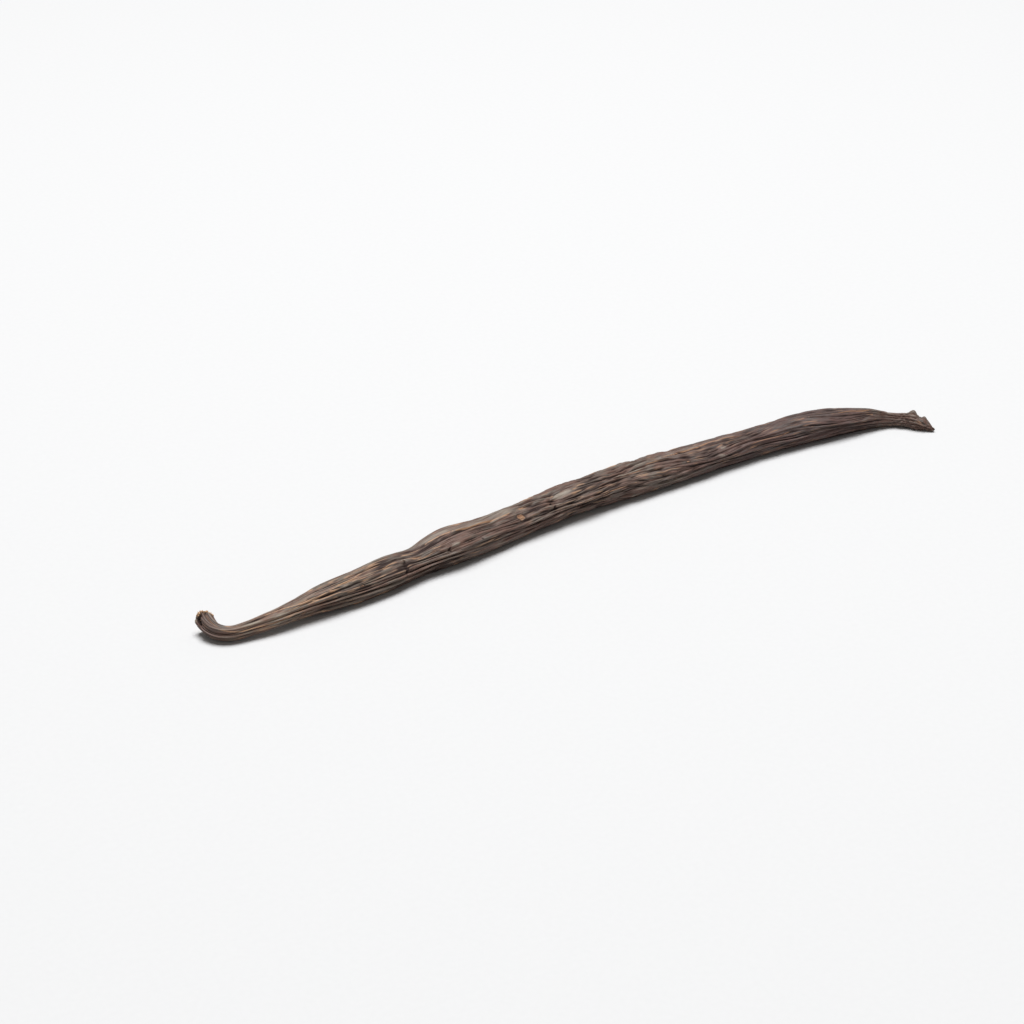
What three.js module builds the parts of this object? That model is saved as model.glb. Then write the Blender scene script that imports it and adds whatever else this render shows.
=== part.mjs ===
// A cured vanilla pod lying on a table: one soft, leathery piece with long pleats, a thin neck whose stem end
// curls back and flares to a torn face, and a tip that keeps the dried stub of the flower as a small beak.
// Millimetres. +X runs from the stem end to the tip, +Z is up, and the pod lies on Z = 0.

import * as THREE from 'three';

const { clamp, degToRad, euclideanModulo, lerp, smoothstep } = THREE.MathUtils;
const TURN = 2 * Math.PI;

// ---- driving dimensions -------------------------------------------------------------------------------

const LENGTH = 172;           // along the middle of the pod, round all its bends
const PLEATS = 16;            // long pleats round the pod
const NECK_PLEATS = 6;        // broader folds round the neck and the stem end
const PRESSED = 0.3;          // how far its own weight flattens the underside
const TWIST = 42;             // degrees by which the pleats wind round the pod from end to end
const THREE_SIDED = 0.05;     // share of the radius by which the section leans to a rounded triangle

const SIDES = 2 * PLEATS;     // one column of points on each crest and one in each groove
const SECTIONS = 140;         // cross-sections along the pod
const CROWDING = 0.5;         // share by which the sections lie closer together at the two ends
const STEP = 0.2;             // length of one step along the middle line

// Half width, half thickness and depth of the pleats at places along the pod.
const SWELL = [
  { at: 0, wide: 1.9, thick: 1.95, fold: 0.12 },      // torn stem end
  { at: 3.5, wide: 1.65, thick: 1.52, fold: 0.5 },
  { at: 8, wide: 1.42, thick: 1.4, fold: 0.34 },      // thinnest place of the neck
  { at: 16, wide: 1.75, thick: 1.6, fold: 0.32 },
  { at: 23, wide: 2.65, thick: 2.05, fold: 0.42 },
  { at: 31, wide: 3.7, thick: 2.55, fold: 0.5 },
  { at: 40, wide: 4.0, thick: 2.8, fold: 0.5 },
  { at: 48, wide: 3.6, thick: 2.65, fold: 0.5 },
  { at: 57, wide: 4.6, thick: 3.05, fold: 0.46 },     // shoulder
  { at: 74, wide: 4.15, thick: 2.8, fold: 0.42 },
  { at: 91, wide: 4.7, thick: 2.9, fold: 0.42 },
  { at: 114, wide: 4.65, thick: 2.8, fold: 0.42 },
  { at: 130, wide: 4.0, thick: 2.65, fold: 0.4 },
  { at: 147, wide: 4.2, thick: 2.85, fold: 0.42 },
  { at: 157, wide: 2.95, thick: 2.15, fold: 0.38 },
  { at: 163, wide: 1.55, thick: 1.4, fold: 0.3 },     // waist before the flower stub
  { at: 167.5, wide: 1.5, thick: 1.35, fold: 0.25 },
  { at: 170.5, wide: 1.0, thick: 0.9, fold: 0.15 },
  { at: LENGTH, wide: 0.4, thick: 0.35, fold: 0 },    // end of the beak
];

// Bends seen from above: each turns the middle line by `turn` degrees, spread over `over` millimetres.
const BENDS = [
  { at: 4.6, over: 9.2, turn: 86 },                   // the stem end curls back
  { at: 14.5, over: 8, turn: 11.5 },                  // the neck meets the pod at a slant
  { at: 92, over: 44, turn: -7 },                     // the long bow
  { at: 143, over: 26, turn: -12 },
  { at: 163, over: 18, turn: -47 },                   // the tip curls to one side
];

// The stem end also rises a little: the middle line starts downwards and levels out over this length.
const HOOK = { over: 8.5, pitch: -13 };

// Places where the stiff pod arches clear of the table, and by how much.
const ARCHES = [
  { at: 17, over: 40, rise: 1.0 },
  { at: 84, over: 34, rise: 0.45 },
  { at: LENGTH, over: 44, rise: 0.5 },
];

// Lumps and, with a negative rise, hollows: place along and round the pod, size both ways, and height.
// Angles go round the section from the outer side of the bow: 90 is the top and 180 the inner side.
const LUMPS = [
  { at: 0.95, angle: 156, along: 0.6, around: 17, rise: -1.0 },   // deep hollows under the torn rim
  { at: 0.6, angle: 123, along: 0.4, around: 16, rise: -0.6 },
  { at: 3.5, angle: 215, along: 3.5, around: 40, rise: -0.35 },   // the curl is thinner below
  { at: 47.5, angle: 100, along: 2.4, around: 55, rise: -0.4 },   // crease before the shoulder
  { at: 48.6, angle: 25, along: 2.2, around: 30, rise: -0.2 },
  { at: 57.5, angle: 25, along: 4.5, around: 30, rise: 0.3 },     // outer edge of the shoulder
  { at: 64, angle: 80, along: 2.0, around: 40, rise: -0.3 },
  { at: 80, angle: 90, along: 2.4, around: 50, rise: -0.5 },
  { at: 167.2, angle: 72, along: 1.1, around: 34, rise: 1.0 },    // knobs of the flower stub
  { at: 169.8, angle: 65, along: 0.9, around: 34, rise: 0.6 },
  { at: 168.4, angle: 250, along: 1.3, around: 40, rise: 0.35 },
];

// The torn stem face, from its rim to its middle: share of the rim's radius, and how deep it lies.
const FACE_RINGS = [
  { share: 0.8, depth: -0.25 },
  { share: 0.5, depth: 0.35 },
];
const FACE_DEPTH = 0.6;

// The torn edge runs in and out by these waves: how many go round it, their height, and the angle of a crest.
const TEAR = [
  { waves: 1, height: 0.39, crest: 101 },
  { waves: 2, height: 0.12, crest: 117 },
  { waves: 3, height: 0.1, crest: 103 },
];

// ---- the middle line ----------------------------------------------------------------------------------

/** Yaw and pitch of the middle line at distance s from the stem end, in radians. */
function heading(s) {
  const bend = (yaw, { at, over, turn }) => yaw + turn * smoothstep(s, at - over / 2, at + over / 2);
  const pitch = HOOK.pitch * (1 - smoothstep(s, 0, HOOK.over));
  return { yaw: degToRad(BENDS.reduce(bend, 0)), pitch: degToRad(pitch) };
}

/** The middle line as points one STEP apart, with its level part at height 0. */
function walkMiddleLine() {
  const points = [new THREE.Vector3()];
  for (let s = STEP / 2; s < LENGTH; s += STEP) {
    const { yaw, pitch } = heading(s);
    const ahead = new THREE.Vector3(
      Math.cos(pitch) * Math.cos(yaw), Math.cos(pitch) * Math.sin(yaw), Math.sin(pitch));
    points.push(points[points.length - 1].clone().addScaledVector(ahead, STEP));
  }
  const level = points[points.length - 1].z;
  points.forEach((point) => { point.z -= level; });
  return points;
}

const MIDDLE_LINE = walkMiddleLine();

/** Smooth bump of height 1 and full width `over`, centred on `at`. */
function bump(s, at, over) {
  const reach = clamp(Math.abs(s - at) / (over / 2), 0, 1);
  return (1 + Math.cos(Math.PI * reach)) / 2;
}

/** Centre of the cross-section at s: on the walked line, lifted so that the underside meets the table. */
function centreAt(s) {
  const place = clamp(s / STEP, 0, MIDDLE_LINE.length - 1.001);
  const index = Math.floor(place);
  const centre = MIDDLE_LINE[index].clone().lerp(MIDDLE_LINE[index + 1], place - index);
  const arch = ARCHES.reduce((sum, { at, over, rise }) => sum + rise * bump(s, at, over), 0);
  centre.z += swellAt(s, 'thick') - PRESSED + arch;
  return centre;
}

/** The two axes of the cross-section at s, sideways and upwards, and the direction of the pod there. */
function axesAt(s) {
  const { yaw, pitch } = heading(s);
  const side = new THREE.Vector3(-Math.sin(yaw), Math.cos(yaw), 0);
  const ahead = new THREE.Vector3(
    Math.cos(pitch) * Math.cos(yaw), Math.cos(pitch) * Math.sin(yaw), Math.sin(pitch));
  return { side, ahead, up: new THREE.Vector3().crossVectors(ahead, side) };
}

// ---- the cross-section --------------------------------------------------------------------------------

/** One measure of SWELL at s, on a smooth curve through the listed places. */
function swellAt(s, measure) {
  const last = SWELL.length - 1;
  const i = clamp(SWELL.findIndex(({ at }) => at > s) - 1, 0, last - 1);
  const from = s >= LENGTH ? last - 1 : i;
  const slope = (k) => {
    const before = SWELL[Math.max(k - 1, 0)];
    const after = SWELL[Math.min(k + 1, last)];
    return (after[measure] - before[measure]) / (after.at - before.at);
  };
  const gap = SWELL[from + 1].at - SWELL[from].at;
  const t = (s - SWELL[from].at) / gap;
  const rise = t * t * (3 - 2 * t);
  return lerp(SWELL[from][measure], SWELL[from + 1][measure], rise)
    + gap * (slope(from) * t * (1 - t) ** 2 - slope(from + 1) * t * t * (1 - t));
}

/** Angle round the section of the point in column v: the pleats wind slowly and wander a little. */
function angleAt(s, v) {
  const unrest = lerp(0.4, 1, smoothstep(s, 50, 110));
  const wander = 0.09 * Math.sin(TURN * s / 31 + 2 * v) + 0.06 * Math.sin(TURN * s / 17 - 3 * v + 1);
  return v + degToRad(TWIST) * s / LENGTH + unrest * wander;
}

/** Height of the pleats at column v, from 0 in a groove to 1 on a full crest. Crests are round and grooves
    sharp, and the strength of each pleat comes and goes along the pod. The neck has fewer, broader ones. */
function pleatAt(s, v) {
  const pleat = euclideanModulo(Math.round(v * PLEATS / TURN), PLEATS);
  const strength = 0.64 + 0.36 * Math.sin(2.4 * pleat + TURN * s / (24 + 3 * (pleat % 5)));
  const body = strength * Math.abs(Math.cos(v * PLEATS / 2));
  const neck = Math.abs(Math.cos(v * NECK_PLEATS / 2));
  return lerp(neck, body, smoothstep(s, 8, 28));
}

/** How far the lumps and hollows push the skin out or in at s and angle. */
function lumpAt(s, angle) {
  return LUMPS.reduce((sum, lump) => {
    const along = (s - lump.at) / lump.along;
    const turned = euclideanModulo(angle - degToRad(lump.angle) + Math.PI, TURN) - Math.PI;
    const around = turned / degToRad(lump.around);
    return sum + lump.rise * Math.exp(-along * along - around * around);
  }, 0);
}

/** How far the skin near the torn edge of the stem end sticks out at s and column v. */
function tearAt(s, v) {
  const wave = (reach, { waves, height, crest }) => reach + height * Math.cos(waves * (v - degToRad(crest)));
  return TEAR.reduce(wave, 0) * (1 - smoothstep(s, 0, 3));
}

/** A point of the skin: s along the pod, v round it. Nothing sinks below the table. */
function skinPoint(s, v) {
  const { side, up, ahead } = axesAt(s);
  const wide = swellAt(s, 'wide');
  const thick = swellAt(s, 'thick');
  const angle = angleAt(s, v);
  const round = 1 + THREE_SIDED * Math.cos(3 * angle - 0.8);
  const out = new THREE.Vector2(Math.cos(angle) / wide, Math.sin(angle) / thick).normalize();
  const pressedFlat = lerp(0.3, 1, smoothstep(Math.sin(angle), -0.98, -0.55));
  const fold = swellAt(s, 'fold') * pressedFlat * (pleatAt(s, v) - 0.5) + lumpAt(s, angle);
  const point = centreAt(s)
    .addScaledVector(side, wide * round * Math.cos(angle) + fold * out.x)
    .addScaledVector(up, thick * round * Math.sin(angle) + fold * out.y)
    .addScaledVector(ahead, -tearAt(s, v));
  point.z = Math.max(point.z, 0);
  return point;
}

// ---- the closed surface -------------------------------------------------------------------------------

/** Distance from the stem end of cross-section i: the sections crowd together at both ends. */
function stationAt(i) {
  const t = i / (SECTIONS - 1);
  return LENGTH * (t - CROWDING * Math.sin(TURN * t) / TURN);
}

/** The rings of points from the middle of the torn face, over its rim and along the skin to the beak. */
function podRings() {
  const columns = Array.from({ length: SIDES }, (_, j) => TURN * j / SIDES);
  const rim = columns.map((v) => skinPoint(0, v));
  const { ahead } = axesAt(0);
  const hub = rim.reduce((sum, point) => sum.add(point), new THREE.Vector3()).divideScalar(SIDES);
  const faceRing = ({ share, depth }) =>
    rim.map((point) => hub.clone().lerp(point, share).addScaledVector(ahead, depth));
  const face = FACE_RINGS.map(faceRing).reverse();
  const skin = Array.from({ length: SECTIONS }, (_, i) => columns.map((v) => skinPoint(stationAt(i), v)));
  return { middle: hub.clone().addScaledVector(ahead, FACE_DEPTH), rings: [...face, ...skin] };
}

/** The pod as one closed triangle mesh: a fan in the torn face, bands between rings, a fan at the beak. */
function podGeometry() {
  const { middle, rings } = podRings();
  const end = centreAt(LENGTH).addScaledVector(axesAt(LENGTH).ahead, 0.3);
  const points = [middle, ...rings.flat(), end];
  const at = (ring, column) => 1 + ring * SIDES + (column % SIDES);
  const triangles = [];
  for (let j = 0; j < SIDES; j += 1) {
    triangles.push(0, at(0, j + 1), at(0, j));
    triangles.push(points.length - 1, at(rings.length - 1, j), at(rings.length - 1, j + 1));
  }
  for (let i = 0; i < rings.length - 1; i += 1) {
    for (let j = 0; j < SIDES; j += 1) {
      triangles.push(at(i, j), at(i, j + 1), at(i + 1, j + 1));
      triangles.push(at(i, j), at(i + 1, j + 1), at(i + 1, j));
    }
  }
  const geometry = new THREE.BufferGeometry().setFromPoints(points);
  geometry.setIndex(triangles);
  geometry.computeVertexNormals();
  return geometry;
}

/** The pod, turned so that its two ends lie along X, with the middle of its footprint at the origin. */
function makePod() {
  const skin = new THREE.MeshStandardMaterial({ color: '#3d2d27', roughness: 0.5, metalness: 0 });
  const geometry = podGeometry();
  const reach = centreAt(LENGTH).sub(centreAt(0));
  geometry.rotateZ(-Math.atan2(reach.y, reach.x));
  geometry.computeBoundingBox();
  const middle = geometry.boundingBox.getCenter(new THREE.Vector3());
  const pod = new THREE.Mesh(geometry, skin);
  pod.name = 'pod';
  pod.position.set(-middle.x, -middle.y, 0);
  return pod;
}

const vanillaPod = new THREE.Group();
vanillaPod.add(makePod());

export default vanillaPod;
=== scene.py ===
"""A cured vanilla pod lying on a pale table: its wrinkled skin, the crumbs of torn tissue at its stem end and
the studio around it.

Sizes are in millimetres and are turned into Blender's metres where a mesh is made.
"""

import bpy
import numpy as np
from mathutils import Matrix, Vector


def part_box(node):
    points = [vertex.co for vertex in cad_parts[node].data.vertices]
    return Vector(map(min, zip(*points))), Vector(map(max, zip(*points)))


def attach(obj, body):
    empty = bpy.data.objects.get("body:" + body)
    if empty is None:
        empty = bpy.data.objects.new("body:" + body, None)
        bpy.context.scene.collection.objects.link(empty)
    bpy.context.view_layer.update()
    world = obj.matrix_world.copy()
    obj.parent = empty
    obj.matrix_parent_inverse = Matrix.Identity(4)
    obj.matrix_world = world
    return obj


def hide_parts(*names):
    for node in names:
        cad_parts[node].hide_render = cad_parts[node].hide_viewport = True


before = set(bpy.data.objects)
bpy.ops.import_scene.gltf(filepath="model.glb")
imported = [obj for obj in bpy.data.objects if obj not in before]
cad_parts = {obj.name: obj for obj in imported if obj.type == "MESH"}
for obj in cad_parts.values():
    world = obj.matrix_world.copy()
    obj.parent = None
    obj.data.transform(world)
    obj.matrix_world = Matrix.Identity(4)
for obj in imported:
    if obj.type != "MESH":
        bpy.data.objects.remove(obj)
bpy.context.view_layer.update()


# ---- The pod ------------------------------------------------------------------------------------------
# The cured fruit of the vanilla orchid is one long leathery capsule, dried until its wall shrinks into pleats
# that run from the stem to the tip. The stem end was torn off the vine and has curled back, and the tip keeps
# the dried stub of the flower. Nothing is joined to it: it lies on the table under its own small weight.

MM = 0.001
TURN = 2 * np.pi

LENGTH = 172.0        # along the middle of the pod, round all its bends
PLEATS = 16           # long pleats round the pod
NECK_PLEATS = 6       # broader folds round the neck and the stem end
PRESSED = 0.3         # how far its own weight flattens the underside
TWIST = 42.0          # degrees by which the pleats wind round the pod from end to end
THREE_SIDED = 0.05    # share of the radius by which the section leans to a rounded triangle
STEP = 0.2            # length of one step along the middle line

# Places along the pod with its half width, half thickness and depth of the pleats there.
SWELL = np.array([
    [0, 1.9, 1.95, 0.12],        # torn stem end
    [3.5, 1.65, 1.52, 0.5],
    [8, 1.42, 1.4, 0.34],        # thinnest place of the neck
    [16, 1.75, 1.6, 0.32],
    [23, 2.65, 2.05, 0.42],
    [31, 3.7, 2.55, 0.5],
    [40, 4.0, 2.8, 0.5],
    [48, 3.6, 2.65, 0.5],
    [57, 4.6, 3.05, 0.46],       # shoulder
    [74, 4.15, 2.8, 0.42],
    [91, 4.7, 2.9, 0.42],
    [114, 4.65, 2.8, 0.42],
    [130, 4.0, 2.65, 0.4],
    [147, 4.2, 2.85, 0.42],
    [157, 2.95, 2.15, 0.38],
    [163, 1.55, 1.4, 0.3],       # waist before the flower stub
    [167.5, 1.5, 1.35, 0.25],
    [170.5, 1.0, 0.9, 0.15],
    [LENGTH, 0.4, 0.35, 0],      # end of the beak
])
WIDE, THICK, FOLD = 1, 2, 3      # columns of SWELL

# Bends seen from above: place, length over which it is spread, and degrees turned.
BENDS = ((4.6, 9.2, 86), (14.5, 8, 11.5), (92, 44, -7), (143, 26, -12), (163, 18, -47))
# The stem end also rises a little: the middle line starts downwards and levels out over this length.
HOOK_LENGTH, HOOK_PITCH = 8.5, -13.0
# Places where the stiff pod arches clear of the table: place, length and rise.
ARCHES = ((17, 40, 1.0), (84, 34, 0.45), (LENGTH, 44, 0.5))

# Lumps and, with a negative rise, hollows and creases: place along and degrees round the pod, size both ways,
# rise, and millimetres by which the mark leans along the pod for each radian round it. Angles go round the
# section from the outer side of the bow: 90 is the top and 180 the inner side.
LUMPS = (
    (0.95, 156, 0.6, 17, -1.0, 0),      # deep hollows under the torn rim
    (0.6, 123, 0.4, 16, -0.6, 0),
    (3.5, 215, 3.5, 40, -0.35, 0),      # the curl is thinner below
    (47.5, 100, 2.4, 55, -0.4, 0),      # hollow before the shoulder
    (48.6, 25, 2.2, 30, -0.2, 0),
    (57.5, 25, 4.5, 30, 0.3, 0),        # outer edge of the shoulder
    (64, 80, 2.0, 40, -0.3, 0),
    (80, 90, 2.4, 50, -0.5, 0),
    (167.2, 72, 1.1, 34, 1.0, 0),       # knobs of the flower stub
    (169.8, 65, 0.9, 34, 0.6, 0),
    (168.4, 250, 1.3, 40, 0.35, 0),
)
CREASES = (
    (0.5, 155, 0.4, 13, -0.65, 0),          # the deep hollow reaches on behind a thin lip
    (43.2, 137, 0.48, 36, -0.5, -0.8),      # sharp crease across the pod before the shoulder
    (44.5, 128, 1.0, 20, 0.2, -0.8),        # and its raised lips
    (41.9, 124, 0.9, 14, 0.16, -0.8),
    (43.6, 108, 0.5, 6, 0.3, 0),            # and a small knot above them
    (53.1, 137, 0.42, 10, -0.45, -0.9),     # blunt end of a pleat that stands up
    (54.6, 133, 1.2, 9, 0.4, -0.7),
    (60.4, 140, 0.4, 8, -0.2, 0.6),
    (79.4, 104, 0.5, 8, -0.5, 0.6),         # dark pits beside a shallow dimple
    (78.9, 138, 0.48, 10, -0.5, -0.6),
    (78.6, 121, 0.4, 8, -0.3, 0.2),
    (82.8, 98, 1.4, 12, -0.2, 0),
    (118.8, 131, 0.8, 6, 0.35, 2.2),        # pinched folds that stand up
    (121.6, 104, 0.8, 6, 0.3, 2.0),
    (123.4, 74, 0.9, 6, 0.25, -1.6),
    (116.6, 118, 0.6, 14, -0.25, 1.6),
    (98.0, 70, 0.6, 30, -0.2, -1.2),
    (105.5, 140, 0.6, 16, -0.3, 1.8),
    (139.0, 100, 0.6, 26, -0.18, 1.2),
    (58.0, 300, 0.6, 34, -0.25, 1.2),
    (104.0, 10, 0.6, 36, -0.25, -1.5),
    (133.0, 330, 0.6, 34, -0.22, 1.4),
)

RIM_HOLLOWS = LUMPS[:2] + CREASES[:1]      # the hollows under the torn rim, painted dark as shade
SHARP = 0.5           # a sunken crease shorter than this along the pod has a dark line of painted shade at its bottom

# Sharp ridges where the skin folded over: height, width of the upper flank, then places along the pod and
# degrees round it.
RIDGES = (
    (0.28, 2.6, (46, 50.1, 53.5, 55.4, 57, 61, 65, 69, 72, 74.3), (42, 66, 72, 79, 88, 93, 95, 97, 90, 86)),
    (0.2, 0.9, (20, 24, 30, 36, 42), (130, 122, 106, 95, 84)),
    (0.24, 0.8, (10, 14.5, 17.2, 19.8, 24, 32), (74, 84, 101, 118, 134, 139)),
    (0.2, 0.7, (29, 33.9, 37, 40.4, 44.4), (118, 112, 109, 106, 118)),
    (0.14, 0.5, (14, 20, 23.4, 28.6, 36), (204, 211, 220, 228, 232)),
    (0.18, 0.5, (44.6, 47.5, 50.5, 53.5), (106, 108, 111, 116)),
    (0.16, 0.5, (44.8, 47.5, 50, 53), (123, 125, 127, 130)),
    (0.16, 0.5, (2, 5.6, 8.7, 14, 21), (120, 128, 151, 166, 170)),
    (0.2, 0.9, (82, 87, 92, 97, 103), (166, 160, 150, 145, 147)),
    (0.22, 0.9, (101, 106, 110, 116), (134, 138, 142, 146)),
    (0.18, 1.1, (104, 112, 121, 130), (92, 84, 78, 80)),
    (0.18, 0.9, (124, 131, 139, 147), (132, 138, 136, 142)),
    (0.16, 0.8, (136, 146, 156, 162), (106, 98, 94, 92)),
    (0.2, 0.9, (60, 72, 84), (262, 254, 258)),
    (0.2, 1.1, (88, 100, 112, 124), (18, 24, 20, 26)),
    (0.2, 0.9, (30, 38, 47), (300, 292, 296)),
)
LOWER_FLANK = 0.3     # width of every ridge's lower flank
# broad upper flanks also get a paler colour, a painted sheen
BROAD_FLANK = 1.0     # an upper flank broader than this has few wrinkles

# Other places with few wrinkles, whose colour is painted paler as a painted sheen: place along and degrees
# round the pod, size both ways, share and lean.
FACETS = (
    (82.9, 99, 1.8, 12, 0.9, 0),
    (108, 190, 15, 24, 0.5, 0),
    (121.1, 116, 0.7, 9, 0.8, 0),
    (119.8, 143, 0.7, 6, 0.8, 0),
    (40.2, 122, 2.2, 9, 0.6, 0),
    (49.5, 118, 2.6, 9, 0.15, 0),
    (55.5, 139, 1.6, 6, 0.5, 0),
)
# Painted highlights where the skin glints and, with a negative share, painted shade in the pits, in the
# same columns.
GLINTS_AND_PIT_SHADE = (
    (0, 185, 0.25, 42, 0.8, 0),
    (83.6, 94, 1.6, 9, 0.55, 0),
    (81.3, 103, 1.1, 9, 0.7, 0.5),
    (79.4, 104, 0.55, 8, -0.65, 0.6),
    (78.9, 139, 0.5, 9, -0.6, -0.6),
    (72.4, 97, 0.9, 10, 0.4, 0),
    (121.3, 116, 0.7, 8, 0.55, 1.5),
    (119.9, 143, 0.8, 6, 0.6, 1.5),
    (43.6, 108, 0.5, 5, 0.5, 0),
    (54.5, 132, 1.2, 7, 0.45, -0.7),
    (23.5, 100, 2.4, 8, 0.3, 0),
)

# The torn stem face, from its middle to its rim: share of the rim's radius, and depth below the rim.
FACE_SHARE = (0, 0.5, 0.8, 1)
FACE_DEPTH = (0.6, 0.35, -0.25, 0)

# The torn edge runs in and out by these waves: how many go round it, their height, and the angle of a crest.
TEAR = ((1, 0.39, 101), (2, 0.12, 117), (3, 0.1, 103))
# Degrees between which the crumbly edge turns into a smooth lip, and the lip into a crumbly edge again.
LIP_START, LIP_END = (126, 150), (255, 280)

COLUMNS = 288         # points round the pod
SECTIONS = 330        # cross-sections along it
FACE_RINGS = 12       # rings of points in the torn face
# The sections lie closer together near these places: place, reach and how much closer.
CROWDS = ((0, 4, 3.0), (43.3, 1.6, 2.6), (53.2, 1.2, 2.4), (79, 2, 1.8), (121, 3, 1.0), (168, 5, 2.2))

# Kinds of shrivelled folds: how many cells of noise go round the pod, the length of a cell, and the seed.
STRANDS = (13, 22, 17)
STRAIGHT, WAVY = (24, 26, 11), (27, 7.5, 12)
FINE_STRAIGHT, FINE_WAVY = (44, 10, 13), (48, 4.5, 19)
CROSS = (13, 2.4, 14)
STUB = (8, 1.2, 15)
# Depth of the grooves between strands, folds, finer folds and the folds of the stub.
STRAND_DEPTH, FOLD_DEPTH, FINE_DEPTH, STUB_DEPTH = 0.34, 0.38, 0.22, 0.4
# Stretches of the pod over which its long pleats, its folds, the wavy ones, the straighter ones behind them
# and the folds of the stub begin.
PLEATS_BEGIN, FOLDS_BEGIN = (8, 28), (14, 27)
WAVY_BEGIN, WAVY_END = (55, 84), (104, 128)
STUB_BEGINS = (160, 165)
# Slow waves by which the pleats swerve: radians, length along the pod, waves round it, and start.
SWERVES = ((0.09, 31, 2, 0), (0.06, 17, -3, 1))
# Noises by which the folds wander: radians, cells round the pod, length of a cell, and seed.
DRIFTS = ((0.16, 5, 21, 3), (0.05, 12, 9, 4))
# Grains of the torn face: height, cells round it, share of the radius in a cell, and seed.
GRAINS = ((0.5, 26, 0.17, 21), (0.35, 44, 0.1, 22))


def smooth(x, low, high):
    """Smooth step: 0 below low, 1 above high, and 3t^2 - 2t^3 between them."""
    t = np.clip((x - low) / (high - low), 0, 1)
    return t * t * (3 - 2 * t)


def bump(s, at, over):
    """One hump of a raised cosine, 1 high and `over` wide, centred on `at`."""
    return (1 + np.cos(np.pi * np.clip(np.abs(s - at) / (over / 2), 0, 1))) / 2


def short_way(angle):
    """The angle less whole turns, so that it lies within half a turn either way."""
    return np.mod(angle + np.pi, TURN) - np.pi


def around():
    """Angles of the points round the pod, as one row."""
    return (np.arange(COLUMNS) * TURN / COLUMNS)[None, :]


def swell(s, measure):
    """One column of SWELL at s: a cubic through its rows, whose slope at a row joins the rows beside it."""
    at, value = SWELL[:, 0], SWELL[:, measure]
    before = np.maximum(np.arange(len(at)) - 1, 0)
    after = np.minimum(np.arange(len(at)) + 1, len(at) - 1)
    slope = (value[after] - value[before]) / (at[after] - at[before])
    i = np.clip(np.searchsorted(at, s, side="right") - 1, 0, len(at) - 2)
    gap = at[i + 1] - at[i]
    t = (s - at[i]) / gap
    rise = t * t * (3 - 2 * t)
    ends = slope[i] * t * (1 - t) ** 2 - slope[i + 1] * t * t * (1 - t)
    return value[i] + (value[i + 1] - value[i]) * rise + gap * ends


def axes(s):
    """Sideways, upward and forward directions of the pod at s. Its yaw is the sum of the bends, each a smooth
    step, and its pitch starts a little downwards and levels out over the hook."""
    yaw = sum(np.radians(turn) * smooth(s, at - over / 2, at + over / 2) for at, over, turn in BENDS)
    pitch = np.radians(HOOK_PITCH) * (1 - smooth(s, 0, HOOK_LENGTH))
    ahead = np.stack([np.cos(pitch) * np.cos(yaw), np.cos(pitch) * np.sin(yaw), np.sin(pitch)], -1)
    side = np.stack([-np.sin(yaw), np.cos(yaw), 0 * yaw], -1)
    return side, np.cross(ahead, side), ahead


def mean_radius(s):
    """Mean of the half width and the half thickness at s."""
    return (swell(s, WIDE) + swell(s, THICK)) / 2


def centre(s):
    """Middle of the cross-section at s: the forward direction summed in short steps from the stem end, lifted
    by the half thickness, less the pressed part, and by the arches."""
    ahead = axes(np.arange(STEP / 2, LENGTH, STEP))[2]
    line = np.vstack([np.zeros(3), np.cumsum(ahead * STEP, axis=0)])
    line[:, 2] -= line[-1, 2]
    place = np.arange(len(line)) * STEP
    point = np.stack([np.interp(s, place, line[:, k]) for k in range(3)], -1)
    arch = sum(rise * bump(s, at, over) for at, over, rise in ARCHES)
    point[..., 2] += swell(s, THICK) - PRESSED + arch
    return point


def gradient_noise(v, s, cells, length, seed):
    """Gradient noise on the skin: one random slope for each of `cells` columns round the pod and for each
    `length` along it, blended by 6t^5 - 15t^4 + 10t^3, and closed where the last column meets the first."""
    column, row = v * cells / TURN, s / length
    left, low = np.floor(column).astype(int), np.floor(row).astype(int)
    across, along = column - left, row - low
    slopes = np.random.default_rng(seed).uniform(0, TURN, (cells, low.max() - low.min() + 2))

    def corner(i, j):
        slope = slopes[(left + i) % cells, low - low.min() + j]
        return np.cos(slope) * (across - i) + np.sin(slope) * (along - j)

    ease_across = across**3 * (across * (6 * across - 15) + 10)
    ease_along = along**3 * (along * (6 * along - 15) + 10)
    near = corner(0, 0) + (corner(1, 0) - corner(0, 0)) * ease_across
    far = corner(0, 1) + (corner(1, 1) - corner(0, 1)) * ease_across
    return near + (far - near) * ease_along


def wrinkles(v, s, cells, length, seed):
    """Shrivelled folds from 0 in a sharp groove to 1 on a round crest: tanh(3|n|) of the gradient noise n."""
    return np.tanh(3 * np.abs(gradient_noise(v, s, cells, length, seed)))


def pleats(s, v):
    """Height of the long pleats, 0 in a groove and up to 1 on a crest: |cos| of half the pleats times v. Each
    pleat's strength comes and goes along the pod, and the neck has fewer, broader ones."""
    pleat = np.mod(np.round(v * PLEATS / TURN), PLEATS)
    strength = 0.64 + 0.36 * np.sin(2.4 * pleat + TURN * s / (24 + 3 * (pleat % 5)))
    body = strength * np.abs(np.cos(v * PLEATS / 2))
    neck = np.abs(np.cos(v * NECK_PLEATS / 2))
    return neck + (body - neck) * smooth(s, *PLEATS_BEGIN)


def marks(s, angle, rows):
    """Sum of the listed marks: rise * exp(-a^2 - b^2), a and b being the distance along and round the pod in
    the mark's own sizes."""
    total = 0
    for at, degrees, length, arc, rise, lean in rows:
        turned = short_way(angle - np.radians(degrees))
        a = (s - at - lean * turned) / length
        b = turned / np.radians(arc)
        total = total + rise * np.exp(-a * a - b * b)
    return total


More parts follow.
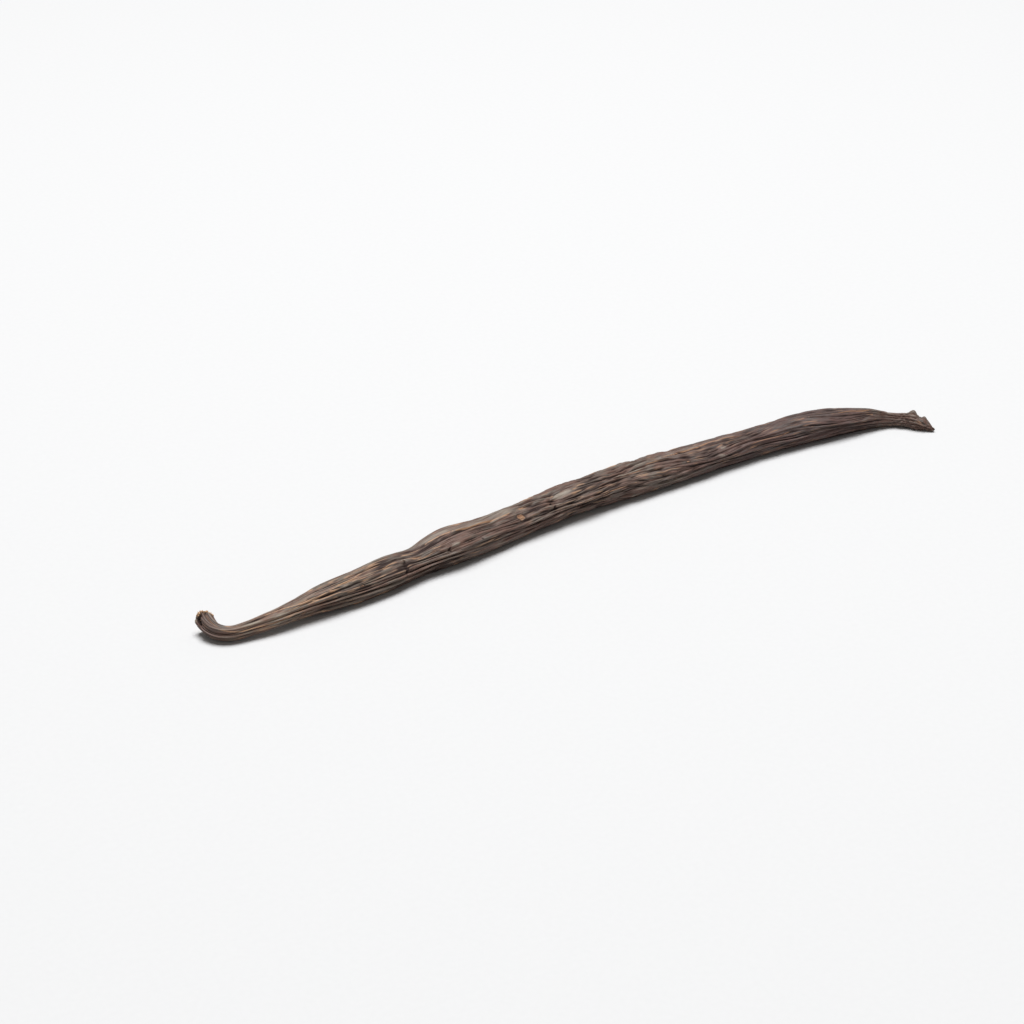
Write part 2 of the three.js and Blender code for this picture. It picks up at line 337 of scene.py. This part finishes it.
def crease_gaps(s, angle):
    """Distance along the pod to the nearest sharp crease line, more past the crease's two ends, up to 1."""
    nearest = 1.0 + 0 * angle
    for at, degrees, length, arc, rise, lean in CREASES:
        if rise < 0 and length < SHARP:
            turned = short_way(angle - np.radians(degrees))
            past = smooth(np.abs(turned) / np.radians(arc), 0.6, 1.4)
            gap = np.abs(s - at - lean * turned - 0.12 * np.sin(23 * angle)) + past
            nearest = np.minimum(nearest, gap)
    return nearest


def drift(v, s):
    """The angle v moved a little to and fro by two slow noises, so that folds wander as they run along."""
    return sum((reach * gradient_noise(v, s, *noise) for reach, *noise in DRIFTS), v)


def shrivel(s, v, wide):
    """Folds that drying pressed into the skin: long strands on the neck, straight folds behind it, wavy ones
    broken by cross folds in the middle, straighter ones again behind that, and finer folds between. Gives
    their height, near 0 on a crest and below 0 in a groove, and their share, from 0 in a groove to 1 on a
    crest."""
    flow = drift(v, s)
    crinkled = smooth(s, *WAVY_BEGIN) * (1 - 0.75 * smooth(s, *WAVY_END))
    body = smooth(s, *FOLDS_BEGIN)
    strands = wrinkles(flow, s, *STRANDS)
    straight, wavy = wrinkles(flow, s, *STRAIGHT), wrinkles(flow, s, *WAVY)
    fine_straight, fine_wavy = wrinkles(flow, s, *FINE_STRAIGHT), wrinkles(flow, s, *FINE_WAVY)
    cross = wrinkles(v, s + 1.5 * np.sin(5 * v), *CROSS)
    folds = straight + (wavy - straight) * crinkled
    fine = fine_straight + (fine_wavy - fine_straight) * crinkled
    room = np.clip(wide / 4, 0.35, 1.1)
    height = (1 - body) * STRAND_DEPTH * (strands - 0.85) + body * room * FOLD_DEPTH * (folds - 0.85)
    height = height + room * FINE_DEPTH * (fine - 0.8)
    height = height + body * room * (0.03 + 0.13 * crinkled) * (cross - 0.8)
    share = strands + (folds - strands) * body
    fine = 0.75 + (fine - 0.75) * smooth(wide, 1.6, 3.2)
    return height, 0.56 * share + 0.32 * fine + 0.12 * cross


def ridges(s, angle, wide):
    """Height of the sharp ridges: rise * exp(-(d / flank)^2), d being the distance round the pod from the
    ridge's line, and each ridge swells up and dies away along its length. Also gives the distance to the
    nearest ridge line, up to 1, and how far a broad upper flank smooths the skin."""
    total, calm, nearest = 0, 0, 1.0 + 0 * angle
    for rise, upper_flank, places, degrees in RIDGES:
        line = np.radians(np.interp(s, places, degrees)) + 0.03 * np.sin(0.9 * s + degrees[0])
        away = short_way(angle - line) * 0.8 * wide
        along = (s - places[0]) / (places[-1] - places[0])
        strength = smooth(along, 0, 0.2) * (1 - smooth(along, 0.8, 1))
        share = away / np.where(away > 0, LOWER_FLANK, upper_flank)
        total = total + rise * strength * np.exp(-share * share)
        if upper_flank > BROAD_FLANK:
            calm = calm + strength * (away < 0) * np.exp(-share * share)
        nearest = np.minimum(nearest, np.abs(away) + 0.3 * (1 - strength))
    return total, nearest, calm


def rough_rim(v):
    """How crumbly the torn edge is round the pod: all of it, but for a smooth lip from the deep hollow on."""
    degrees = np.mod(np.degrees(v), 360)
    return 1 - 0.9 * smooth(degrees, *LIP_START) * (1 - smooth(degrees, *LIP_END))


def hollow_shade(s, angle):
    """Share of painted shade in the hollows under the rim: 0 on the skin round them."""
    return smooth(-marks(s, angle, RIM_HOLLOWS), 0.3, 0.7)


def skin_surface(s, v, wrinkled):
    """Points of the skin at s along and v round the pod: an oval that leans to a triangle, pushed out along
    its normal by the pleats, lumps, creases and wrinkles, less on the pressed underside. Also gives the
    height of the folds for the colour, mostly from 0 to 1, with painted sheen on smooth facets and glints
    and painted shade in the rim hollows and pits, and the turned angle of each point."""
    side, up, ahead = (axis[:, None, :] for axis in axes(s[:, 0]))
    wide, thick, fold = (swell(s, measure) for measure in (WIDE, THICK, FOLD))
    unrest = 0.4 + 0.6 * smooth(s, 50, 110)
    swerve = sum(turn * np.sin(TURN * s / length + waves * v + start)
                 for turn, length, waves, start in SWERVES)
    angle = v + np.radians(TWIST) * s / LENGTH + unrest * swerve
    pressed = 0.3 + 0.7 * smooth(np.sin(angle), -0.98, -0.55)
    folds = pleats(s, v)
    height = fold * (folds - 0.5) * pressed + marks(s, angle, LUMPS)
    tear = sum(reach * np.cos(waves * (v - np.radians(crest))) for waves, reach, crest in TEAR)
    if wrinkled:
        depth, share = shrivel(s, v, wide)
        creased = marks(s, angle, CREASES)
        raised, _, calm = ridges(s, angle, wide)
        calm = np.minimum(calm + marks(s, angle, FACETS), 1)
        rough = rough_rim(v)
        even = (1 - 0.6 * calm) * (1 - 0.8 * (1 - rough) * (1 - smooth(s, 0.3, 1.5)))
        height += pressed * depth * even + creased + raised
        height += smooth(s, *STUB_BEGINS) * STUB_DEPTH * (wrinkles(v, s, *STUB) - 0.6)
        beads = np.abs(np.sin(13 * v + 1.5 * gradient_noise(v, s, 9, 3, 18)))
        height += rough * (0.2 * beads - 0.06) * (1 - smooth(s, 0.25, 0.65))
        folds = 0.3 * folds + 0.8 * share - 0.12
        # the smooth facets and broad upper flanks are painted paler as a painted sheen, and the smooth lip
        # paler
        folds = folds + (0.95 - folds) * 0.75 * calm + 0.5 * (1 - rough) * (1 - smooth(s, 0.1, 0.4))
        # the rim hollows are painted dark as shade; the listed glints are painted highlights, the pits
        # painted shade
        folds = np.clip(folds - 1.6 * hollow_shade(s, angle) + marks(s, angle, GLINTS_AND_PIT_SHADE), -0.5, 1.6)
        tear = tear + 0.25 * rough * gradient_noise(v, s, 31, 4, 16)
    oval = 1 + THREE_SIDED * np.cos(3 * angle - 0.8)
    out_x, out_y = np.cos(angle) / wide, np.sin(angle) / thick
    reach = np.hypot(out_x, out_y)
    x = wide * oval * np.cos(angle) + height * out_x / reach
    y = thick * oval * np.sin(angle) + height * out_y / reach
    torn = (tear * (1 - smooth(s, 0, 3)))[..., None]
    points = centre(s[:, 0])[:, None, :] + side * x[..., None] + up * y[..., None] - ahead * torn
    return points, folds, angle


def torn_face(rim, share, v):
    """Points of the torn face: each ring shrinks the rim towards its middle and sinks by the depth for its
    share of the radius, and grains of torn tissue stand up from it by gradient noise."""
    ahead = axes(np.zeros(1))[2][0]
    hub = rim.mean(axis=0)
    depth = np.interp(share, FACE_SHARE, FACE_DEPTH)[:, None, None]
    rings = hub + (rim - hub) * share[:, None, None]
    grains = sum(height * gradient_noise(v, share[:, None], *noise) for height, *noise in GRAINS)
    lift = grains * np.sin(np.pi * share[:, None]) ** 0.5
    return rings + ahead * (depth - lift[..., None]), hub + ahead * FACE_DEPTH[0]


def turned_to_rest(points):
    """Turns points about Z so that the pod's two ends lie along X, and keeps them above the table."""
    reach = centre(np.array([0.0, LENGTH]))
    away = reach[1] - reach[0]
    turn = -np.arctan2(away[1], away[0])
    return np.stack([points[..., 0] * np.cos(turn) - points[..., 1] * np.sin(turn),
                     points[..., 0] * np.sin(turn) + points[..., 1] * np.cos(turn),
                     np.maximum(points[..., 2], 0)], -1)


def stations(count):
    """Places of the cross-sections: even shares of the running sum of a density along the pod, which is 1 and
    higher by a round hump near each of the crowded places."""
    place = np.linspace(0, LENGTH, 20 * count)
    density = 1 + sum(more * np.exp(-((place - at) / reach) ** 2) for at, reach, more in CROWDS)
    total = np.concatenate([[0], np.cumsum((density[1:] + density[:-1]) / 2)])
    return np.interp(np.linspace(0, total[-1], count), total, place)[:, None]


def tube_faces(height):
    """Triangles of a closed tube with a fan at each end, to point 0 and to the last point. Each square
    between the rings is cut along the diagonal whose ends are nearer in height, so that a fold which runs
    aslant stays even. The heights are given ring by ring."""
    rings, columns = height.shape
    point = 1 + np.arange(rings * columns).reshape(rings, columns)
    beside, height_beside = np.roll(point, -1, axis=1), np.roll(height, -1, axis=1)
    here, there = point[:-1], beside[:-1]
    here_on, there_on = point[1:], beside[1:]
    straight = np.abs(height[:-1] - height_beside[1:]) <= np.abs(height_beside[:-1] - height[1:])
    first = np.stack([here, there, np.where(straight, there_on, here_on)], -1)
    second = np.stack([np.where(straight, here, there), there_on, here_on], -1)
    start = np.stack([0 * point[0], beside[0], point[0]], -1)
    end = np.stack([0 * point[0] + rings * columns + 1, point[-1], beside[-1]], -1)
    return np.vstack([first.reshape(-1, 3), second.reshape(-1, 3), start, end])


def new_piece(name, points, faces, material):
    """A smooth-shaded mesh object from points in millimetres."""
    mesh = bpy.data.meshes.new(name)
    mesh.from_pydata((points * MM).tolist(), [], np.asarray(faces).tolist())
    mesh.shade_smooth()
    mesh.materials.append(material)
    piece = bpy.data.objects.new(name, mesh)
    bpy.context.scene.collection.objects.link(piece)
    return piece


FACTOR, COLOUR_A, COLOUR_B, MIXED = 0, 6, 7, 2        # sockets of a Mix node that mixes colours


class Signal:
    """One output of a shader node. Arithmetic on signals and numbers adds Math nodes to the material."""

    def __init__(self, tree, socket=None):
        self.tree = tree
        self.socket = socket

    def node(self, kind, settings=None, values=None, output=0):
        """Adds a node of any type: its settings first, then its sockets' values or links."""
        made = self.tree.nodes.new(kind)
        for name, setting in (settings or {}).items():
            setattr(made, name, setting)
        for name, value in (values or {}).items():
            if isinstance(value, Signal):
                self.tree.links.new(value.socket, made.inputs[name])
            else:
                made.inputs[name].default_value = value
        return Signal(self.tree, made.outputs[output])

    def math(self, operation, *values):
        return self.node("ShaderNodeMath", {"operation": operation}, dict(enumerate(values)))

    def __add__(self, other):
        return self.math("ADD", self, other)

    def __sub__(self, other):
        return self.math("SUBTRACT", self, other)

    def __rsub__(self, other):
        return self.math("SUBTRACT", other, self)

    def __mul__(self, other):
        return self.math("MULTIPLY", self, other)

    __radd__ = __add__
    __rmul__ = __mul__

    def between(self, low, high):
        """Smooth step of the signal from 0 at low to 1 at high."""
        ends = {"Value": self, "From Min": low, "From Max": high}
        return self.node("ShaderNodeMapRange", {"interpolation_type": "SMOOTHSTEP"}, ends)

    def tint(self, first, second):
        """The colour that goes from first to second as the signal goes from 0 to 1."""
        values = {FACTOR: self, COLOUR_A: first, COLOUR_B: second}
        return self.node("ShaderNodeMix", {"data_type": "RGBA"}, values, MIXED)

    def attribute(self, name, output="Fac"):
        """A number or vector stored at the points of the mesh."""
        return self.node("ShaderNodeAttribute", {"attribute_name": name}, output=output)

    def noise(self, stretch, detail, rough):
        """Noise of this place, with cells of `stretch` millimetres each way."""
        scale = [1 / size for size in stretch]
        place = self.node("ShaderNodeMapping", {}, {"Vector": self, "Scale": scale})
        values = {"Vector": place, "Scale": 1.0, "Detail": detail, "Roughness": rough}
        return self.node("ShaderNodeTexNoise", {}, values)


def new_material(name):
    """An empty node material with a Principled shader. Gives the material, its shader and a first signal."""
    material = bpy.data.materials.new(name)
    material.use_nodes = True
    return material, material.node_tree.nodes["Principled BSDF"], Signal(material.node_tree)


# Colours of the skin as linear red, green and blue. Of two browns the first is warm and the second grey.
# near black for the grooves: partly oily skin, partly painted shade
GROOVE = (0.028, 0.0155, 0.013, 1)
NEAR_BROWNS = (0.182, 0.106, 0.076, 1), (0.154, 0.125, 0.099, 1)
# the far browns are darker, partly as painted shade
FAR_BROWNS = (0.106, 0.059, 0.051, 1), (0.088, 0.067, 0.062, 1)
# Of these pairs the first is the colour near the neck, and the second the colour of the far half, darker
# partly as painted shade.
# the pale crests: partly worn skin, partly painted sheen
CRESTS = (0.325, 0.277, 0.218, 1), (0.19, 0.152, 0.134, 1)
RUBBED_EDGES = (0.6, 0.36, 0.21, 1), (0.34, 0.185, 0.11, 1)
# A painted highlight for the glints, a fleck, the ring round a pore, the brown and the tan of its spot,
# and the torn tissue.
GLINT_COLOUR = (0.38, 0.33, 0.275, 1)
FLECK = (0.4, 0.27, 0.18, 1)
PORE_RING = (0.05, 0.028, 0.02, 1)
PORE_SPOT = (0.19, 0.08, 0.042, 1), (0.32, 0.2, 0.12, 1)
TORN = (0.56, 0.37, 0.22, 1)


def skin_finish():
    """Oily dark brown leather: near black in the grooves, partly oil and partly painted shade, and grey-brown
    on the crests, partly wear and partly painted sheen, with painted highlights where the skin glints, thin
    ochre edges, fine lengthwise grain, tan pores where the fruit breathed, and torn tan tissue at the stem."""
    material, shader, start = new_material("pod_skin")
    grain = start.attribute("grain", "Vector")
    height = start.attribute("fold_height")
    tissue = start.attribute("tissue")
    pore = start.attribute("pore")
    ridge_gap = start.attribute("ridge_gap")
    crease_gap = start.attribute("crease_gap")
    far_end = start.attribute("far_end")

    streaks = grain.noise((0.5, 0.5, 4.5), 1.5, 0.5)
    threads = grain.noise((0.22, 0.22, 2.4), 1.0, 0.5)
    patches = grain.noise((2.4, 2.4, 9.0), 2.0, 0.5)
    fibres = grain.noise((0.32, 0.32, 5.0), 1.0, 0.5)
    specks = grain.noise((0.14, 0.14, 0.2), 1.0, 0.5)

    # the colour height drops to near black along short sunken creases: a painted shade line
    ridge = height * crease_gap.between(0.05, 0.5) + 0.7 * (streaks - 0.5) + 0.3 * (threads - 0.5)
    greyer = (0.5 * patches + 0.5 * threads).between(0.42, 0.58)
    near_brown = greyer.tint(*NEAR_BROWNS)
    far_brown = greyer.tint(*FAR_BROWNS)
    brown = far_end.tint(near_brown, far_brown)
    # the grooves go near black by the colour height: partly oil, partly painted shade
    colour = ridge.between(0.08, 0.48).tint(GROOVE, brown)
    pale = far_end.tint(*CRESTS)
    # the crests turn paler and greyer: partly wear, partly painted sheen
    crest = (ridge.between(0.55, 0.95) * (0.3 + streaks)).tint(colour, pale)
    # painted highlights where the colour height goes above 1.1: the listed glints and the smooth lip
    glinted = (ridge.between(1.1, 1.6) * (0.4 + streaks)).tint(crest, GLINT_COLOUR)
    flank = 1 - start.math("ABSOLUTE", ridge - 0.42).between(0.06, 0.24)
    rubbed = flank * fibres.between(0.54, 0.68) * patches.between(0.42, 0.55)
    edge = (1 - ridge_gap.between(0.03, 0.1)) * streaks.between(0.3, 0.45)
    rubbed = start.math("MAXIMUM", 0.6 * rubbed, 0.75 * edge)
    ochre = far_end.tint(*RUBBED_EDGES)
    lined = rubbed.tint(glinted, ochre)
    flecked = (specks.between(0.74, 0.8) * 0.5).tint(lined, FLECK)
    ring = pore.between(0.02, 0.3) * (1 - pore.between(0.4, 0.7))
    ringed = (ring * 0.8).tint(flecked, PORE_RING)
    spot = specks.between(0.35, 0.65).tint(*PORE_SPOT)
    pored = pore.between(0.4, 0.8).tint(ringed, spot)
    torn = (tissue * (0.55 + 0.7 * threads)).tint(pored, TORN)
    start.tree.links.new(torn.socket, shader.inputs["Base Color"])

    rough = 0.42 + 0.16 * streaks + 0.4 * (1 - ridge.between(0, 0.5))
    start.tree.links.new((rough + 0.35 * tissue).socket, shader.inputs["Roughness"])
    shader.inputs["Specular IOR Level"].default_value = 0.32
    relief = 1.5 * streaks + 0.4 * threads + 0.15 * specks + 0.5 * ring
    bumped = start.node("ShaderNodeBump", {}, {"Strength": 0.8, "Distance": 0.2 * MM, "Height": relief})
    start.tree.links.new(bumped.socket, shader.inputs["Normal"])
    return material


# Pores: place along and degrees round the pod, and half length and half width of the raised spot.
PORES = (
    (71.0, 122, 0.95, 0.95),
    (57.6, 134, 0.32, 0.24),
    (83.2, 162, 0.35, 0.24),
    (149.8, 170, 0.35, 0.22),
    (32.8, 139, 0.25, 0.18),
    (112, 128, 0.25, 0.18),
    (95, 20, 0.7, 0.42),
    (52, 330, 0.5, 0.35),
    (128, 352, 0.45, 0.3),
)


def pore_spots(s, angle):
    """Share of each point that lies in a pore: 1 in the middle of an ellipse and 0 from its edge."""
    share = 0
    for at, degrees, half_length, half_width in PORES:
        turned = short_way(angle - np.radians(degrees))
        away = np.hypot((s - at) / half_length, turned * mean_radius(s) / half_width)
        share = share + 1 - smooth(away, 0.45, 1.2)
    return share


def rest_shift():
    """How far the turned pod moves in plan so that its unwrinkled skin has the same middle as its solid."""
    plain = turned_to_rest(skin_surface(stations(SECTIONS), around(), wrinkled=False)[0]).reshape(-1, 3)
    low, high = (np.array(corner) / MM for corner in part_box("pod"))
    return ((low + high) / 2 - (plain.min(axis=0) + plain.max(axis=0)) / 2) * [1, 1, 0]


def make_pod():
    """The pod as one closed skin: the torn face's rings, then the cross-sections from the rim to the beak."""
    v = around()
    s = stations(SECTIONS)
    points, folds, angle = skin_surface(s, v, wrinkled=True)
    share = np.linspace(0, 1, FACE_RINGS + 2)[1:-1]
    face, middle = torn_face(points[0], share, v)
    tip = centre(np.array([LENGTH]))[0] + 0.3 * axes(np.array([LENGTH]))[2][0]
    every = np.vstack([middle[None], face.reshape(-1, 3), points.reshape(-1, 3), tip[None]])
    every = turned_to_rest(every) + shift
    face_folds = 0.5 + 0 * share[:, None] * v
    piece = new_piece("pod_skin", every, tube_faces(np.vstack([face_folds, folds])), skin_finish())

    def store(name, middle_value, face_values, skin_values, tip_value):
        """Stores a number or vector at the middle of the face, its rings, the sections and the tip."""
        parts = [np.reshape(middle_value, (1, -1)), face_values, skin_values, np.reshape(tip_value, (1, -1))]
        width = parts[0].shape[1]
        values = np.vstack([part.reshape(-1, width) for part in parts])
        kind, field = ("FLOAT", "value") if width == 1 else ("FLOAT_VECTOR", "vector")
        attribute = piece.data.attributes.new(name, kind, "POINT")
        attribute.data.foreach_set(field, np.ascontiguousarray(values, np.float32).ravel())

    flow = drift(v, s)
    grain = np.stack([mean_radius(s) * np.cos(flow), mean_radius(s) * np.sin(flow), s + 0 * flow], -1)
    store("grain", (0, 0, 0), grain[0] * share[:, None, None], grain, (0, 0, LENGTH))
    rim_tissue = 1 - smooth(s + 0.25 * gradient_noise(v, s, 40, 1, 31), 0.12, 0.45)
    rim_tissue = rim_tissue * rough_rim(v) * (1 - hollow_shade(s, angle))
    face_tissue = (0.25 + 0.75 * smooth(share, 0.25, 0.7))[:, None] + 0 * v
    store("tissue", 0.2, face_tissue, rim_tissue, 0)
    store("fold_height", 0.3, face_folds, folds, 0.5)
    store("pore", 0, 0 * face_folds, pore_spots(s, angle), 0)
    store("ridge_gap", 1, 1 + 0 * face_folds, ridges(s, angle, swell(s, WIDE))[1], 1)
    store("crease_gap", 1, 1 + 0 * face_folds, crease_gaps(s, angle), 1)
    # Share of the far half's darker colours, partly painted shade: none on the neck, and about two thirds at
    # both ends.
    far_end = 0.5 * smooth(s, 8, 60) + 0.5 * smooth(s, 95, 135) - 0.4 * smooth(s, 150, 163)
    far_end = far_end + 0.7 * (1 - smooth(s, 3, 9)) + 0 * v
    store("far_end", 0, 0 * face_folds, far_end, 1)
    return piece


shift = rest_shift()
pod = make_pod()
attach(pod, "root")
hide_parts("pod")


# ---- The torn crumbs ----------------------------------------------------------------------------------
# Where the pod was broken off its stalk, the soft inside stays behind as dry tan crumbs and short fibres.
# They are shreds of the fruit's own tissue, stuck along the rim and in the face by its dried juice.

RIM_BEADS, RIM_CRUMBS, FACE_CRUMBS = 28, 30, 60      # evenly along the rim, scattered there, and in the face
CRUMB_RINGS, CRUMB_SIDES = 5, 8
BEAD_RADII, CRUMB_RADII = (0.14, 0.23), (0.06, 0.12)
SUNK = 0.08                            # how far a rim crumb's middle lies under the skin
LUMPY = (0.72, 1.22)                   # least and most factor that moves a crumb's points in or out
STRAW, BUFF, UMBER = (0.66, 0.46, 0.29, 1), (0.56, 0.34, 0.18, 1), (0.24, 0.14, 0.085, 1)


def crumb_finish():
    """Dry plant tissue: pale tan, browner in patches, matt, with a fine fibrous grain."""
    material, shader, start = new_material("torn_tissue")
    place = start.node("ShaderNodeTexCoord", output="Object")
    grain = place.noise([0.25 * MM] * 3, 3.0, 0.6)
    patches = place.noise([0.7 * MM] * 3, 1.0, 0.5)
    pale = patches.between(0.42, 0.6).tint(BUFF, STRAW)
    colour = (grain + 0.6 * (patches - 0.5)).between(0.3, 0.6).tint(UMBER, pale)
    start.tree.links.new(colour.socket, shader.inputs["Base Color"])
    start.tree.links.new((0.62 + 0.25 * grain).socket, shader.inputs["Roughness"])
    bumped = start.node("ShaderNodeBump", {}, {"Strength": 0.5, "Distance": 0.08 * MM, "Height": grain})
    start.tree.links.new(bumped.socket, shader.inputs["Normal"])
    return material


def make_crumbs():
    """Crumbs as lumpy spheroids: the rings of a sphere are stretched along their axis, their points are moved
    in or out at random, and the whole is turned at random and set about half into the tissue."""
    random = np.random.default_rng(41)
    count = RIM_BEADS + RIM_CRUMBS + FACE_CRUMBS
    number = np.arange(count)[:, None]
    bead = number < RIM_BEADS
    jitter = random.uniform(-0.3, 0.3, (count, 1))
    v = np.where(bead, (number + jitter) * TURN / RIM_BEADS, random.uniform(0, TURN, (count, 1)))
    rim, _, _ = skin_surface(np.where(bead, 0.2, random.uniform(0, 0.3, (count, 1))), v, wrinkled=True)
    edge, _, _ = skin_surface(np.zeros((count, 1)), v, wrinkled=True)
    hub = edge[:, 0].mean(axis=0)
    share = np.sqrt(random.uniform(0.05, 0.9, (count, 1)))
    ahead = axes(np.zeros(1))[2][0]
    face = hub + (edge[:, 0] - hub) * share + ahead * np.interp(share, FACE_SHARE, FACE_DEPTH)
    in_face = number >= RIM_BEADS + RIM_CRUMBS
    inwards = hub - rim[:, 0]
    sunk = rim[:, 0] + SUNK * inwards / np.linalg.norm(inwards, axis=1, keepdims=True)
    place = np.where(in_face, face, sunk)

    polar = (np.arange(CRUMB_RINGS) + 1) * np.pi / (CRUMB_RINGS + 1)
    round_it = np.arange(CRUMB_SIDES) * TURN / CRUMB_SIDES
    rings = np.stack([np.sin(polar)[:, None] * np.cos(round_it), np.sin(polar)[:, None] * np.sin(round_it),
                      np.cos(polar)[:, None] + 0 * round_it], -1).reshape(-1, 3)
    ball = np.vstack([[[0, 0, 1]], rings, [[0, 0, -1]]])
    upper = 0.6 + 0.4 * smooth(np.sin(v), 0.1, 0.9)
    size = np.where(bead, upper * random.uniform(*BEAD_RADII, (count, 1)),
                    random.uniform(*CRUMB_RADII, (count, 1)))
    size = (np.where(in_face, 1, 0.15 + 0.85 * rough_rim(v)) * size)[..., None]
    stretch = np.where(in_face, 1 + 1.8 * random.uniform(0, 1, (count, 1)) ** 3, 1.1)[..., None]
    lumpy = random.uniform(*LUMPY, (count, len(ball), 1))
    lumps = ball * size * lumpy * [1, 1, 0] + ball * size * stretch * [0, 0, 1]
    turn, lean = random.uniform(0, TURN, (count, 1)), random.uniform(0, np.pi, (count, 1))
    x = lumps[..., 0]
    y = lumps[..., 1] * np.cos(lean) - lumps[..., 2] * np.sin(lean)
    z = lumps[..., 1] * np.sin(lean) + lumps[..., 2] * np.cos(lean)
    turned = np.stack([x * np.cos(turn) - y * np.sin(turn), x * np.sin(turn) + y * np.cos(turn), z], -1)
    points = turned_to_rest((place[:, None, :] + turned).reshape(-1, 3)) + shift
    ball_faces = tube_faces(np.zeros((CRUMB_RINGS, CRUMB_SIDES)))[:, ::-1]
    faces = ball_faces + (np.arange(count) * len(ball))[:, None, None]
    return new_piece("torn_crumbs", points, faces.reshape(-1, 3), crumb_finish())


crumbs = make_crumbs()
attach(crumbs, "root")


# ---- The studio ---------------------------------------------------------------------------------------
# A wide white table, a large soft lamp above and a little behind the pod, and white walls all round.
# None of it belongs to the pod.

AIM = Vector((-13.33, 3.56, 3.0))      # point at the middle of the view
AZIMUTH, ELEVATION = -28.16, 30.0      # direction from which the camera looks, in degrees
DISTANCE = 500.0                       # from the camera to the aim
FIELD_WIDTH = 200.1                    # width of the view at the aim
SENSOR_WIDTH = 36.0                    # of the camera
LAMP_SIZE, LAMP_POWER = 950.0, 34.0    # side of the lamp, and its power in watts
LAMP_BEHIND, LAMP_ABOVE = 250, 1500    # where it hangs, from the aim
WALLS, WALL_LIGHT = (1.0, 0.96, 0.92, 1), 0.2
TABLE_SIZE = 6000.0
PAPER = (0.62, 0.625, 0.632, 1), (0.645, 0.65, 0.657, 1)


def make_table():
    """A flat white sheet much larger than the pod, with a faint tooth like paper."""
    material, shader, start = new_material("table_paper")
    place = start.node("ShaderNodeTexCoord", output="Object")
    tooth = place.node("ShaderNodeTexNoise", {}, {"Vector": place, "Scale": 900.0, "Detail": 3.0})
    colour = tooth.tint(*PAPER)
    start.tree.links.new(colour.socket, shader.inputs["Base Color"])
    shader.inputs["Roughness"].default_value = 0.75
    corners = np.array([[-1, -1, 0], [1, -1, 0], [1, 1, 0], [-1, 1, 0]]) * TABLE_SIZE / 2
    return new_piece("table", corners, [(0, 1, 2, 3)], material)


def aim(thing, place, target):
    """Puts a lamp or camera at a place, looking at the target, both in millimetres."""
    thing.location = place * MM
    thing.rotation_euler = (target - place).to_track_quat("-Z", "Y").to_euler()
    bpy.context.scene.collection.objects.link(thing)


make_table()

back = Vector((np.sin(np.radians(AZIMUTH)) * np.cos(np.radians(ELEVATION)),
               -np.cos(np.radians(AZIMUTH)) * np.cos(np.radians(ELEVATION)),
               np.sin(np.radians(ELEVATION))))
away = Vector((-back.x, -back.y, 0)).normalized()

camera = bpy.data.cameras.new("camera")
camera.sensor_width = SENSOR_WIDTH
camera.lens = SENSOR_WIDTH * DISTANCE / FIELD_WIDTH
camera_object = bpy.data.objects.new("camera", camera)
aim(camera_object, AIM + back * DISTANCE, AIM)
bpy.context.scene.camera = camera_object

lamp = bpy.data.lights.new("overhead_lamp", "AREA")
lamp.size = LAMP_SIZE * MM
lamp.energy = LAMP_POWER
aim(bpy.data.objects.new("overhead_lamp", lamp), AIM + away * LAMP_BEHIND + Vector((0, 0, LAMP_ABOVE)), AIM)

world = bpy.data.worlds.new("white_room")
world.use_nodes = True
world.node_tree.nodes["Background"].inputs["Color"].default_value = WALLS
world.node_tree.nodes["Background"].inputs["Strength"].default_value = WALL_LIGHT
bpy.context.scene.world = world
bpy.context.scene.view_settings.view_transform = "Standard"
